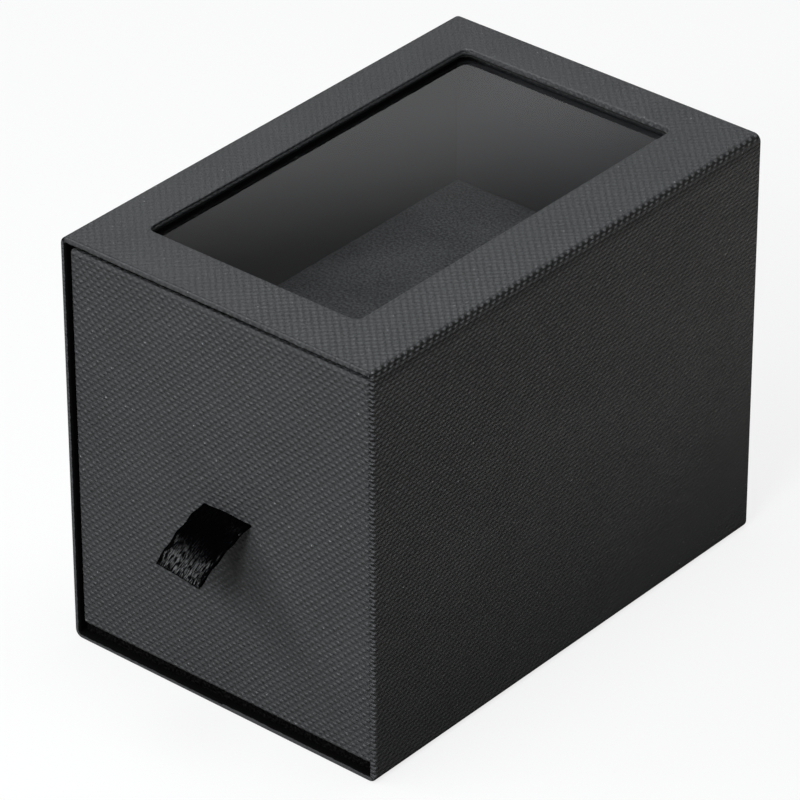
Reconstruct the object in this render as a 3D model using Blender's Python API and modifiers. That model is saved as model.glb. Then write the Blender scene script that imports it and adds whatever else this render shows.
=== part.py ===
"""Sliding drawer gift box: a rigid paper-wrapped sleeve with a film window, and the drawer that slides in it.

The origin is the middle of the base, on the table. +X is to the right, the drawer comes out towards -Y.
"""

import math

import bmesh
import bpy
from mathutils import Matrix, Vector

MM = 0.001

# Sheet materials that the box is made of
board = 1.2 * MM
base_board = 2.0 * MM
paper = 0.14 * MM
stay_tape = 0.08 * MM
lining_card = 0.3 * MM
film_tape = 0.12 * MM
film = 0.2 * MM
ribbon = 0.25 * MM
glue = 0.04 * MM

# Sleeve
sleeve_width = 92.0 * MM
sleeve_depth = 138.0 * MM
sleeve_height = 108.3 * MM
sleeve_edge_radius = 2.0 * MM
mouth_edge_radius = 0.4 * MM
back_edge_radius = 0.6 * MM
mouth_turn_in = 15.0 * MM
back_turn_over = 12.0 * MM
base_sheet_margin = 2.0 * MM
mitre_gap = 0.1 * MM
tape_leg = 8.0 * MM
tape_end_margin = 1.0 * MM

# Window, which sits nearer the left and back edges
window_left_margin = 13.0 * MM
window_right_margin = 17.2 * MM
window_front_margin = 14.8 * MM
window_back_margin = 11.8 * MM
window_corner_radius = 2.0 * MM
window_turn_in = 8.0 * MM
lining_margin = 2.0 * MM
lining_setback = 0.4 * MM
film_overlap = 8.0 * MM
film_tape_width = 5.0 * MM

# Drawer
drawer_side_clearance = 0.35 * MM
drawer_floor_clearance = 0.25 * MM
drawer_top_clearance = 1.6 * MM
drawer_back_clearance = 0.3 * MM
drawer_recess = 0.85 * MM
drawer_edge_radius = 0.5 * MM
drawer_turn_in = 18.0 * MM
base_setback = 0.8 * MM
wall_lining_drop = 5.0 * MM
lining_clearance = 0.1 * MM

# Ribbon pull
ribbon_width = 15.0 * MM
ribbon_offset = 1.8 * MM
ribbon_height = 53.2 * MM
ribbon_reach = 16.5 * MM
ribbon_drop = 7.6 * MM
ribbon_tail = 14.0 * MM
ribbon_bend_radius = 0.5 * MM
ribbon_layer_gap = 0.35 * MM
ribbon_loop_gap = 1.5 * MM
ribbon_clearance = 0.1 * MM
slot_clearance = 0.3 * MM
patch_margin = 3.0 * MM
ribbon_skew_share = 0.05
ribbon_droop_power = 1.25

# Insert
insert_height = 62.3 * MM
insert_side_clearance = 0.3 * MM
insert_front_clearance = 1.0 * MM
insert_edge_radius = 1.5 * MM

overrun = 5.0 * MM
arc_steps = 4

# What the sheets add up to
tape_space = stay_tape + 2 * glue
wall = paper + tape_space + board + glue + paper
turned_paper = wall - paper

# Outer box of the sleeve's wrap, which has a sheet behind it at the back and one under it
wrap_low = Vector((-sleeve_width / 2, -sleeve_depth / 2, paper + glue))
wrap_high = Vector((sleeve_width / 2, sleeve_depth / 2 - paper - glue, sleeve_height))

# Window opening as a plan rectangle
window_low = Vector((window_left_margin - sleeve_width / 2, window_front_margin - sleeve_depth / 2, 0))
window_high = Vector((sleeve_width / 2 - window_right_margin, sleeve_depth / 2 - window_back_margin, 0))

# Sleeve's cavity at the mouth, and the drawer's outer box in it
cavity_low = wrap_low + Vector((wall, 0, wall))
cavity_high = wrap_high - Vector((wall, wall - paper - glue, wall))
drawer_floor = cavity_low.z + drawer_floor_clearance + paper + glue + base_board + glue
drawer_low = Vector((cavity_low.x + drawer_side_clearance, cavity_low.y + drawer_recess, drawer_floor))
drawer_high = Vector((-drawer_low.x, cavity_high.y - drawer_back_clearance, cavity_high.z - drawer_top_clearance))
room_low = drawer_low + Vector((wall, wall, 0))
room_high = drawer_high - Vector((wall, wall, 0))

COLOURS = {
    "embossed_paper": ((0.062, 0.065, 0.068), 0.62),
    "greyboard": ((0.30, 0.29, 0.27), 0.9),
    "stay_tape": ((0.55, 0.42, 0.27), 0.8),
    "black_lining": ((0.022, 0.022, 0.024), 0.75),
    "clear_film": ((0.75, 0.77, 0.80), 0.08),
    "clear_tape": ((0.6, 0.6, 0.55), 0.4),
    "satin_ribbon": ((0.008, 0.008, 0.010), 0.35),
    "black_foam": ((0.030, 0.030, 0.033), 0.95),
}


def remove_everything():
    """Empties the scene of objects."""
    for thing in list(bpy.data.objects):
        bpy.data.objects.remove(thing, do_unlink=True)


def material(name):
    """A Principled material in one of the object's finishes."""
    found = bpy.data.materials.get(name)
    if found:
        return found
    colour, roughness = COLOURS[name]
    made = bpy.data.materials.new(name)
    made.use_nodes = True
    shader = made.node_tree.nodes["Principled BSDF"]
    shader.inputs["Base Color"].default_value = (*colour, 1)
    shader.inputs["Roughness"].default_value = roughness
    shader.inputs["Metallic"].default_value = 0
    if name == "clear_film":
        shader.inputs["Alpha"].default_value = 0.25
    return made


def collection(name):
    """A collection under the scene's own."""
    made = bpy.data.collections.new(name)
    bpy.context.scene.collection.children.link(made)
    return made


def add_object(name, bm, finish=None):
    """An object from a bmesh: a named part with a finish, or else a cutter."""
    mesh = bpy.data.meshes.new(name)
    bm.to_mesh(mesh)
    bm.free()
    made = bpy.data.objects.new(name, mesh)
    if finish:
        mesh.materials.append(material(finish))
        parts.objects.link(made)
    else:
        made.hide_render = True
        made.display_type = "WIRE"
        cutters.objects.link(made)
    return made


def box(low, high):
    """A cube primitive stretched between two corners."""
    bm = bmesh.new()
    bmesh.ops.create_cube(bm, size=1)
    middle = (Vector(low) + Vector(high)) / 2
    size = Vector(high) - Vector(low)
    bmesh.ops.scale(bm, vec=size, verts=bm.verts)
    bmesh.ops.translate(bm, vec=middle, verts=bm.verts)
    return bm


def grown(low, high, by):
    """The two corners of a box moved out by a vector."""
    return Vector(low) - Vector(by), Vector(high) + Vector(by)


def round_edges(bm, wanted, radius):
    """Rounds the edges that a test on their two ends picks out."""
    edges = [edge for edge in bm.edges if wanted(edge.verts[0].co, edge.verts[1].co)]
    bmesh.ops.bevel(
        bm, geom=edges, offset=radius, offset_type="OFFSET", segments=arc_steps, profile=0.5,
        affect="EDGES", material=-1, clamp_overlap=True,
    )


def runs_along(axis):
    """A test for edges that lie along one axis."""
    def test(a, b):
        step = b - a
        return abs(step[axis]) > step.length * 0.999
    return test


def all_round(a, b):
    """A test that picks every edge of a box."""
    return True


def on_plane(axis, place):
    """A test for edges that lie in one plane square to an axis."""
    def test(a, b):
        return abs(a[axis] - place) < glue / 4 and abs(b[axis] - place) < glue / 4
    return test


def cut(target, cutter):
    """Takes a cutter's space out of a piece."""
    modifier = target.modifiers.new("cut_" + cutter.name, "BOOLEAN")
    modifier.operation = "DIFFERENCE"
    modifier.solver = "EXACT"
    modifier.object = cutter


def sheet(name, low, high, finish):
    """A flat sheet or block, which is a plain box."""
    return add_object(name, box(low, high), finish)


def trim(bm, place, away):
    """Cuts off what lies past a plane, and closes the cut."""
    everything = list(bm.verts) + list(bm.edges) + list(bm.faces)
    bmesh.ops.bisect_plane(bm, geom=everything, plane_co=place, plane_no=away, clear_outer=True)
    open_edges = [edge for edge in bm.edges if edge.is_boundary]
    bmesh.ops.holes_fill(bm, edges=open_edges, sides=0)


def mitred_wall(name, low, high, radius, side, along):
    """One wall of a box-shaped tube of board, trimmed from the whole rounded block by its inner face
    and by the two mitres where it meets its neighbours."""
    bm = box(low, high)
    round_edges(bm, runs_along(along), radius)
    across = 3 - along - [abs(part) > 0.5 for part in side].index(True)
    side = Vector(side)
    middle = (Vector(low) + Vector(high)) / 2
    half = (Vector(high) - Vector(low)) / 2
    face = middle + Vector(side[i] * half[i] for i in range(3))
    trim(bm, face - side * board, -side)
    for sign in (-1, 1):
        sideways = Vector(sign if i == across else 0 for i in range(3))
        corner = face + sideways * half[across]
        outward = (sideways - side).normalized()
        trim(bm, corner - outward * mitre_gap / 2, outward)
    return add_object(name, bm, "greyboard")


def corner_tape(name, centre, radius, corner, turn, along):
    """A strip of stay tape: a leg, a quarter bend over the corner and a leg, swept along the corner
    and stopped a little short of its ends."""
    bm = bmesh.new()
    ends = [bm.verts.new((radius, -tape_leg, end)) for end in (tape_end_margin, corner - tape_end_margin)]
    last = [bm.edges.new(ends)]

    def swept(edges, step):
        result = bmesh.ops.extrude_edge_only(bm, edges=edges)
        moved = [item for item in result["geom"] if isinstance(item, bmesh.types.BMVert)]
        bmesh.ops.translate(bm, vec=step, verts=moved)
        return [item for item in result["geom"] if isinstance(item, bmesh.types.BMEdge)]

    last = swept(last, (0, tape_leg, 0))
    bent = bmesh.ops.spin(
        bm, geom=last, cent=(0, 0, 0), axis=(0, 0, 1), angle=math.pi / 2, steps=arc_steps, use_merge=False,
    )
    last = [item for item in bent["geom_last"] if isinstance(item, bmesh.types.BMEdge)]
    swept(last, (-tape_leg, 0, 0))
    bmesh.ops.remove_doubles(bm, verts=bm.verts, dist=glue / 4)
    bmesh.ops.recalc_face_normals(bm, faces=bm.faces)
    outermost = max(bm.faces, key=lambda face: face.calc_center_median().x)
    if outermost.normal.x < 0:
        bmesh.ops.reverse_faces(bm, faces=bm.faces)
    place = Matrix.Rotation(turn, 4, "Z")
    if along == 1:
        place = Matrix.Rotation(-math.pi / 2, 4, "X") @ place
    bmesh.ops.transform(bm, matrix=Matrix.Translation(centre) @ place, verts=bm.verts)
    made = add_object(name, bm, "stay_tape")
    thick = made.modifiers.new("thickness", "SOLIDIFY")
    thick.thickness = stay_tape
    thick.offset = 1
    return made


def sleeve_boards():
    """Four mitred walls round the cavity, and the back that stands between them."""
    inset = paper + tape_space
    low, high = grown(wrap_low, wrap_high, (-inset, 0, -inset))
    low.y += paper + glue
    high.y -= inset
    radius = sleeve_edge_radius - inset
    walls = {
        "sleeve_top_board": (0, 0, 1), "sleeve_bottom_board": (0, 0, -1),
        "sleeve_left_board": (-1, 0, 0), "sleeve_right_board": (1, 0, 0),
    }
    made = {name: mitred_wall(name, low, high, radius, side, 1) for name, side in walls.items()}
    hole = window_cutter("window_in_board", paper + glue)
    cut(made["sleeve_top_board"], hole)
    back_low, back_high = grown(low, high, (-board - mitre_gap, 0, -board - mitre_gap))
    back_low.y = back_high.y - board
    sheet("sleeve_back_board", back_low, back_high, "greyboard")
    corners = [(high.x, high.z), (low.x, high.z), (low.x, low.z), (high.x, low.z)]
    names = ["top_right", "top_left", "bottom_left", "bottom_right"]
    for (x, z), name, turn in zip(corners, names, (-90, 180, 90, 0)):
        centre = Vector((x - math.copysign(radius, x), low.y, z - math.copysign(radius, z - middle_height)))
        corner_tape("sleeve_tape_" + name, centre, radius + glue, high.y - low.y, math.radians(turn), 1)


def window_cutter(name, outset):
    """The window opening grown by an outset, right through the top wall."""
    low, high = grown(window_low, window_high, (outset, outset, 0))
    low.z = sleeve_height - wall - overrun
    high.z = sleeve_height + overrun
    bm = box(low, high)
    round_edges(bm, runs_along(2), window_corner_radius + outset)
    return add_object(name, bm)


def sleeve_wrap():
    """The embossed paper: the wrapped box less the room for the boards and less the cavity."""
    bm = box(wrap_low, wrap_high)
    round_edges(bm, runs_along(1), sleeve_edge_radius)
    round_edges(bm, on_plane(1, wrap_low.y), mouth_edge_radius)
    round_edges(bm, on_plane(1, wrap_high.y), back_edge_radius)
    wrap = add_object("sleeve_wrap", bm, "embossed_paper")

    low, high = grown(wrap_low, wrap_high, (-paper, -paper, -paper))
    bm = box(low, high)
    round_edges(bm, runs_along(1), sleeve_edge_radius - paper)
    round_edges(bm, on_plane(1, low.y), mouth_edge_radius - paper)
    round_edges(bm, on_plane(1, high.y), back_edge_radius - paper)
    board_room = add_object("room_for_sleeve_boards", bm)

    low, high = grown(wrap_low, wrap_high, (-turned_paper, 0, -turned_paper))
    low.y -= overrun
    high.y = wrap_low.y + mouth_turn_in
    cut(board_room, add_object("mouth_turn_in", box(low, high)))

    frame_low, frame_high = grown(window_low, window_high, (window_turn_in, window_turn_in, 0))
    frame_low.z = sleeve_height - wall - overrun
    frame_high.z = sleeve_height - turned_paper
    cut(board_room, add_object("window_turn_in", box(frame_low, frame_high)))
    cut(board_room, window_cutter("window_edge_paper", paper))
    cut(wrap, board_room)

    low, high = grown(cavity_low, cavity_high, (0, overrun, 0))
    high.y = cavity_high.y
    cut(wrap, add_object("sleeve_cavity", box(low, high)))

    low, high = grown(wrap_low, wrap_high, (-back_turn_over, 0, -back_turn_over))
    low.y = wrap_high.y - overrun
    high.y = wrap_high.y + overrun
    cut(wrap, add_object("back_turn_over", box(low, high)))
    cut(wrap, window_cutter("window_opening", 0))


def sleeve_sheets():
    """The flat sheets that finish the back and the base."""
    margin = base_sheet_margin
    low, high = grown(wrap_low, wrap_high, (-margin, -margin, 0))
    low.z = 0
    high.z = paper
    sheet("sleeve_base_paper", low, high, "embossed_paper")
    low, high = grown(wrap_low, wrap_high, (-margin, 0, -margin))
    low.y = sleeve_depth / 2 - paper
    high.y = sleeve_depth / 2
    sheet("sleeve_back_paper", low, high, "embossed_paper")


def framed_sheet(name, low, high, top, thickness, hole_outset, finish):
    """A flat sheet under the window with the opening cut in it."""
    low, high = Vector(low), Vector(high)
    low.z = top - thickness
    high.z = top
    made = sheet(name, low, high, finish)
    cut(made, window_cutter("hole_in_" + name, hole_outset))
    return made


def window_parts():
    """The lining card, the tape and the film that close the window from below."""
    top = sleeve_height - wall - glue
    low, high = grown(cavity_low, cavity_high, (-glue, -lining_margin, 0))
    high.y = cavity_high.y - glue
    framed_sheet("window_lining", low, high, top, lining_card, lining_setback, "black_lining")
    top -= lining_card + glue
    outset = lining_setback + film_tape_width
    low, high = grown(window_low, window_high, (outset, outset, 0))
    framed_sheet("window_tape", low, high, top, film_tape, lining_setback, "clear_tape")
    top -= film_tape + glue
    low, high = grown(window_low, window_high, (film_overlap, film_overlap, 0))
    low.z = top - film
    high.z = top
    sheet("window_film", low, high, "clear_film")


def ribbon_slot():
    """The slit that the two layers of ribbon pass through."""
    half_width = ribbon_width / 2 + slot_clearance
    half_height = ribbon_layer_gap / 2 + ribbon + slot_clearance
    low = Vector((ribbon_offset - half_width, drawer_low.y - overrun, ribbon_height - half_height))
    high = Vector((ribbon_offset + half_width, room_low.y + overrun, ribbon_height + half_height))
    return add_object("ribbon_slot", box(low, high))


def drawer_boards(slot):
    """Four mitred walls that stand on a thicker base board."""
    inset = paper + tape_space
    low, high = grown(drawer_low, drawer_high, (-inset, -inset, -inset))
    radius = drawer_edge_radius - inset
    walls = {
        "drawer_front_board": (0, -1, 0), "drawer_back_board": (0, 1, 0),
        "drawer_left_board": (-1, 0, 0), "drawer_right_board": (1, 0, 0),
    }
    made = {name: mitred_wall(name, low, high, radius, side, 2) for name, side in walls.items()}
    cut(made["drawer_front_board"], slot)
    corners = [(high.x, high.y), (low.x, high.y), (low.x, low.y), (high.x, low.y)]
    names = ["back_right", "back_left", "front_left", "front_right"]
    middle = (low + high) / 2
    for (x, y), name, turn in zip(corners, names, (0, 90, 180, 270)):
        centre = Vector((x - math.copysign(radius, x), y - math.copysign(radius, y - middle.y), low.z))
        corner_tape("drawer_tape_" + name, centre, radius + glue, high.z - low.z, math.radians(turn), 2)
    low, high = grown(drawer_low, drawer_high, (-base_setback, -base_setback, 0))
    high.z = drawer_floor - glue
    low.z = high.z - base_board
    sheet("drawer_base_board", low, high, "greyboard")
    base_paper(low, high)


def base_paper(board_low, board_high):
    """Black paper under the base board and up round its edges."""
    skin = glue + paper
    low, high = grown(board_low, board_high, (skin, skin, 0))
    low.z = board_low.z - skin
    made = sheet("drawer_base_paper", low, high, "black_lining")
    low, high = grown(board_low, board_high, (glue, glue, 0))
    low.z = board_low.z - glue
    high.z = board_high.z + overrun
    cut(made, add_object("room_for_base_board", box(low, high)))


def drawer_wrap(slot):
    """Embossed paper round the drawer's walls, turned over their top edges and under their feet."""
    bm = box(drawer_low, drawer_high)
    round_edges(bm, all_round, drawer_edge_radius)
    wrap = add_object("drawer_wrap", bm, "embossed_paper")
    low, high = grown(drawer_low, drawer_high, (-paper, -paper, -paper))
    bm = box(low, high)
    round_edges(bm, all_round, drawer_edge_radius - paper)
    board_room = add_object("room_for_drawer_boards", bm)
    low, high = grown(drawer_low, drawer_high, (-turned_paper, -turned_paper, overrun))
    low.z = drawer_high.z - drawer_turn_in
    cut(board_room, add_object("top_turn_in", box(low, high)))
    cut(wrap, board_room)
    low, high = grown(room_low, room_high, (0, 0, overrun))
    cut(wrap, add_object("drawer_room", box(low, high)))
    cut(wrap, slot)


def drawer_linings(slot):
    """Black paper round the inside of the walls and over the floor."""
    low, high = grown(room_low, room_high, (-glue, -glue, 0))
    high.z -= wall_lining_drop
    lining = sheet("drawer_wall_lining", low, high, "black_lining")
    low, high = grown(low, high, (-paper, -paper, overrun))
    cut(lining, add_object("inside_of_wall_lining", box(low, high)))
    cut(lining, slot)
    low, high = grown(room_low, room_high, (0, 0, 0))
    skin = glue + paper + lining_clearance
    low, high = grown(low, high, (-skin, -skin, 0))
    high.z = low.z + paper
    sheet("drawer_floor_lining", low, high, "black_lining")


def insert():
    """The foam block that fills the drawer's lower part, with softly rounded upper edges."""
    skin = glue + paper + insert_side_clearance
    low, high = grown(room_low, room_high, (-skin, -skin, 0))
    low.y = room_low.y + glue + paper + insert_front_clearance
    low.z = drawer_floor + paper + glue
    high.z = low.z + insert_height
    bm = box(low, high)
    round_edges(bm, on_plane(2, high.z), insert_edge_radius)
    return add_object("foam_insert", bm, "black_foam")


def arc(centre, radius, start, end, steps):
    """Points round part of a circle, in the ribbon's side view."""
    angles = [start + (end - start) * i / steps for i in range(steps + 1)]
    return [(centre[0] + radius * math.cos(a), centre[1] + radius * math.sin(a)) for a in angles]


def ribbon_side_view():
    """The ribbon's path seen from the side, as (out, up) from the middle of the slot: up the inside
    of the front, out through the slot, round the fold at the tip, and back the same way below."""
    inner = -(wall + glue + paper + ribbon_clearance + ribbon / 2)
    layer = ribbon_layer_gap / 2 + ribbon / 2
    fold = ribbon_loop_gap / 2
    bend = (inner + ribbon_bend_radius, layer + ribbon_bend_radius)
    upper = [(inner, bend[1] + ribbon_tail)]
    upper += arc(bend, ribbon_bend_radius, math.pi, math.pi * 1.5, arc_steps)
    steps = 14
    for i in range(steps + 1):
        share = i / steps
        out = ribbon_reach * share
        up = -ribbon_drop * share ** ribbon_droop_power
        slope = -ribbon_drop / ribbon_reach * ribbon_droop_power * share ** (ribbon_droop_power - 1)
        normal = Vector((-slope, 1)).normalized()
        spread = layer + (fold - layer) * share * share * (3 - 2 * share)
        upper.append((out, up, normal, spread))
    top = upper[: arc_steps + 2] + [(o + n.x * s, u + n.y * s) for o, u, n, s in upper[arc_steps + 2:]]
    bottom = [(o - n.x * s, u - n.y * s) for o, u, n, s in reversed(upper[arc_steps + 2:])]
    out, up, normal, spread = upper[-1]
    start = math.atan2(normal.y, normal.x)
    tip = arc((out, up), spread, start, start - math.pi, 2 * arc_steps)[1:-1]
    lower_tail = [(o, -u) for o, u in reversed(top[: arc_steps + 2])]
    return top + tip + bottom + lower_tail


def ribbon_pull():
    """The satin ribbon: one strip swept along its side view, given its thickness both ways."""
    path = ribbon_side_view()
    bm = bmesh.new()
    half = ribbon_width / 2
    row = [bm.verts.new((ribbon_offset + side * half, 0, 0)) for side in (-1, 0, 1)]
    edges = [bm.edges.new(pair) for pair in zip(row, row[1:])]
    rows = [list(row)]
    for _ in path[1:]:
        result = bmesh.ops.extrude_edge_only(bm, edges=edges)
        edges = [item for item in result["geom"] if isinstance(item, bmesh.types.BMEdge)]
        moved = [item for item in result["geom"] if isinstance(item, bmesh.types.BMVert)]
        rows.append(sorted(moved, key=lambda vert: vert.co.x))
    for points, (out, up) in zip(rows, path):
        for vert in points:
            side = (vert.co.x - ribbon_offset) / half
            reach = out * (1 + ribbon_skew_share * side) if out > 0 else out
            vert.co.y = drawer_low.y - reach
            vert.co.z = ribbon_height + up
    bmesh.ops.recalc_face_normals(bm, faces=bm.faces)
    made = add_object("ribbon_pull", bm, "satin_ribbon")
    made.data.shade_smooth()
    thick = made.modifiers.new("thickness", "SOLIDIFY")
    thick.thickness = ribbon
    thick.offset = 0
    thick.use_even_offset = True
    return made


def ribbon_patch():
    """The paper patch over the ribbon's two ends, inside the front."""
    start = room_low.y + glue + paper + 2 * ribbon_clearance + ribbon
    reach = ribbon_tail + ribbon_bend_radius + ribbon_layer_gap / 2 + ribbon / 2 + patch_margin
    low = Vector((ribbon_offset - ribbon_width / 2 - patch_margin, start, ribbon_height - reach))
    high = Vector((ribbon_offset + ribbon_width / 2 + patch_margin, start + paper, ribbon_height + reach))
    return sheet("ribbon_patch", low, high, "black_lining")


remove_everything()
parts = collection("sliding_drawer_gift_box")
cutters = collection("cutters")
middle_height = sleeve_height / 2

sleeve_boards()
sleeve_wrap()
sleeve_sheets()
window_parts()
slot_cutter = ribbon_slot()
drawer_boards(slot_cutter)
drawer_wrap(slot_cutter)
drawer_linings(slot_cutter)
insert()
ribbon_pull()
ribbon_patch()
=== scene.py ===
# %% [markdown]
# # A sliding drawer gift box
#
# The real object is a rigid box. Grey board is cut, folded into walls and wrapped in a dark
# paper that is embossed like linen. The outer sleeve has a window of clear film in its top, and
# a deep drawer slides out of its open end by a loop of black satin ribbon.
#
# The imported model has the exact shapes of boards, film and linings, so those stay as they are
# and only get finishes. The pieces that catch the light are made again here with more care: the
# wrapped papers with their soft edges, the ribbon and the foam.

import math

import bmesh
import bpy
from mathutils import Matrix, Vector, noise


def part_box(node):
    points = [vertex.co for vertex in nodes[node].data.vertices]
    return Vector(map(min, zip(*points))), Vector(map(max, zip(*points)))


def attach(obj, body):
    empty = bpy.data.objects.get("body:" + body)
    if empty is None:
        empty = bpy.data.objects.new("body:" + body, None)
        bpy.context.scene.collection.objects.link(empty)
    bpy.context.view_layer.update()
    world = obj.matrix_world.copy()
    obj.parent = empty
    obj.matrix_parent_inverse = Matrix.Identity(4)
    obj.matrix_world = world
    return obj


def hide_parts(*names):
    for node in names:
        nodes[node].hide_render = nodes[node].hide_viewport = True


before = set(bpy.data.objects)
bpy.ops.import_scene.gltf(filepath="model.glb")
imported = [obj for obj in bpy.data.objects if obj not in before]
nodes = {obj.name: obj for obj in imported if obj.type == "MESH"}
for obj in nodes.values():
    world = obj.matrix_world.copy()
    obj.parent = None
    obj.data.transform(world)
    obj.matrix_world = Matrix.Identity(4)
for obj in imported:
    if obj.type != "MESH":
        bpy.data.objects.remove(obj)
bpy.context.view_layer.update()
MM = 0.001

print("pieces in the packed model:", len(nodes))

# %% [markdown]
# ## The camera
#
# The photograph is taken with a long lens from about 1.3 m away, to the right of the box's front
# and a little above it. A long lens keeps the box's edges nearly parallel. It could be framed by
# eye, but the vanishing of the twelve edges gives the place and the lens closely, so these
# numbers come from fitting the box's corners.

# %% Camera
scene = bpy.context.scene
scene.view_settings.view_transform = "Standard"

camera_data = bpy.data.cameras.new("camera")
camera_data.sensor_width = 36
camera_data.lens = 248.7
camera = bpy.data.objects.new("camera", camera_data)
scene.collection.objects.link(camera)
scene.camera = camera

camera_place = Vector((0.70104, -0.83370, 0.72932))
looking = Vector((-0.54849, 0.64763, -0.52890)).normalized()
roll = -0.0015
turn = looking.to_track_quat("-Z", "Y").to_matrix() @ Matrix.Rotation(roll, 3, "Z")
camera.matrix_world = Matrix.Translation(camera_place) @ turn.to_4x4()
print("camera is", round(camera_place.length, 2), "m from the box")

# %% [markdown]
# ## Writing shader sums as plain sums
#
# A finish is a graph of nodes. Building it node by node is long and hard to read, so a small
# class wraps a socket and gives it the usual signs. `1 - mask` then adds the Math node by itself.
# Everything that isn't a sum goes through one method that takes the node's type, its settings
# and what its sockets hold. Masks are made by `between`, `past` and `around`.

# %% Sockets that can be added and multiplied
class Wire:
    """An output socket of a finish, with the signs of arithmetic."""

    def __init__(self, finish, socket):
        self.finish, self.socket = finish, socket

    def math(self, operation, *others):
        return self.finish.node("Math", {"operation": operation}, dict(enumerate((self, *others))))

    def __add__(self, other):
        return self.math("ADD", other)

    __radd__ = __add__

    def __sub__(self, other):
        return self.math("SUBTRACT", other)

    def __rsub__(self, other):
        return self.math("MULTIPLY", -1).math("ADD", other)

    def __mul__(self, other):
        return self.math("MULTIPLY", other)

    __rmul__ = __mul__

    def __truediv__(self, other):
        return self.math("DIVIDE", other)

    def __pow__(self, other):
        return self.math("POWER", other)

    def __abs__(self):
        return self.math("ABSOLUTE")

    def most(self, other):
        """The larger of the two."""
        return self.math("MAXIMUM", other)

    def between(self, low, high):
        """0 at low, 1 at high, and smooth between them."""
        settings = {"interpolation_type": "SMOOTHSTEP"}
        inputs = {"Value": self, "From Min": low, "From Max": high}
        return self.finish.node("MapRange", settings, inputs)

    def past(self, place):
        """0 before a place and 1 past it, with a millimetre between."""
        return self.between(place - 0.5 * MM, place + 0.5 * MM)

    def around(self, centre, full, none):
        """1 as near to a centre as `full`, and 0 further away than `none`."""
        return 1 - abs(self - centre).between(full, none)


class Finish:
    """A material with a Principled shader, and short ways to add nodes to it."""

    def __init__(self, name, **constants):
        self.material = bpy.data.materials.new(name)
        self.material.use_nodes = True
        self.tree = self.material.node_tree
        self.shader = self.tree.nodes["Principled BSDF"]
        self.output = self.tree.nodes["Material Output"]
        for socket, value in constants.items():
            self.set(socket.replace("_", " "), value)

    def plug(self, socket, value):
        if isinstance(value, Wire):
            value = value.socket
        if isinstance(value, bpy.types.NodeSocket):
            self.tree.links.new(value, socket)
        elif hasattr(value, "__len__") and socket.type == "RGBA":
            socket.default_value = (*value[:3], 1)
        else:
            socket.default_value = value

    def node(self, kind, settings=None, inputs=None, output=0):
        made = self.tree.nodes.new("ShaderNode" + kind)
        for name, value in (settings or {}).items():
            setattr(made, name, value)
        for name, value in (inputs or {}).items():
            self.plug(made.inputs[name], value)
        return Wire(self, made.outputs[output])

    def set(self, socket, value):
        """Gives the Principled shader's socket a value or a wire."""
        self.plug(self.shader.inputs[socket], value)

    def show(self, shader):
        """Puts another shader on the surface in place of the Principled one."""
        self.plug(self.output.inputs["Surface"], shader)

    def noise(self, where, per_metre, detail=2, roughness=0.5):
        inputs = {"Vector": where, "Scale": per_metre, "Detail": detail, "Roughness": roughness}
        return self.node("TexNoise", {}, inputs)

    def cells(self, where, per_metre):
        """Distance to the nearest of many scattered points."""
        return self.node("TexVoronoi", {"feature": "F1"}, {"Vector": where, "Scale": per_metre})

    def blend(self, share, first, second):
        """A mix of two colours."""
        return self.node("Mix", {"data_type": "RGBA"}, {0: share, 6: first, 7: second}, 2)

    def mixed(self, share, first, second):
        """A mix of two shaders."""
        return self.node("MixShader", {}, {0: share, 1: first, 2: second})

    def diffuse(self, colour):
        return self.node("BsdfDiffuse", {}, {"Color": colour})

    def glow(self, strength):
        return self.node("Emission", {}, {"Color": (1, 1, 1), "Strength": strength})

    def in_box(self):
        """The place in the box, in metres."""
        return self.node("TexCoord", {}, {}, 3)

    def stretched(self, where, factors):
        return self.node("VectorMath", {"operation": "MULTIPLY"}, {0: where, 1: factors})

    def turned(self, where, angles):
        return self.node("Mapping", {}, {"Vector": where, "Rotation": angles})

    def parts(self, where):
        """The three parts of a vector."""
        split = self.node("SeparateXYZ", {}, {0: where}).socket.node
        return [Wire(self, socket) for socket in split.outputs]

    def bump(self, height, distance):
        self.set("Normal", self.node("Bump", {}, {"Height": height, "Distance": distance}))


print("shader helpers ready")

# %% [markdown]
# ## Embossed paper
#
# The wrap is dark grey paper pressed between rollers with a linen pattern: threads 1.08 mm apart
# in both directions, going over and under each other by turns. An image texture could hold
# that, but it is so regular that waves give it exactly. The product of two cosines is +1 where
# one thread lies on top and -1 where the other does, like the squares of a chessboard, and it
# chooses which thread's round back gives the height.
#
# The pattern is laid on each sheet's own flat coordinates, so it runs on round the folds as real
# paper does. A little noise bends the threads and changes their thickness. Like a chessboard the
# pattern shows two sets of diagonal ranks. They are equally strong until the threads' backs lean,
# which favours one set, and grooves between the long threads turn the ranks into ropes. The
# photograph has even ranks on the drawer's face and slanting ropes on the sleeve's walls, so each
# sheet has its own lean and grooves.

# %% Linen emboss
thread_pitch = 1.077 * MM
emboss_depth = 0.46 * MM
paper_dark = (0.022, 0.0223, 0.0228)
paper_light = (0.088, 0.090, 0.093)
painted_glint_colour = (0.30, 0.305, 0.31)
paper_rubbed = (0.066, 0.067, 0.069)
lining_and_shade_black = (0.003, 0.003, 0.003)
rubbing = 0.85


def even_press(finish, place):
    """How the rollers press a plain sheet: depth, tooth, rope, lean and shift."""
    return 0.86, 1.0, 0.35, 0.0, 0.0


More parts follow.
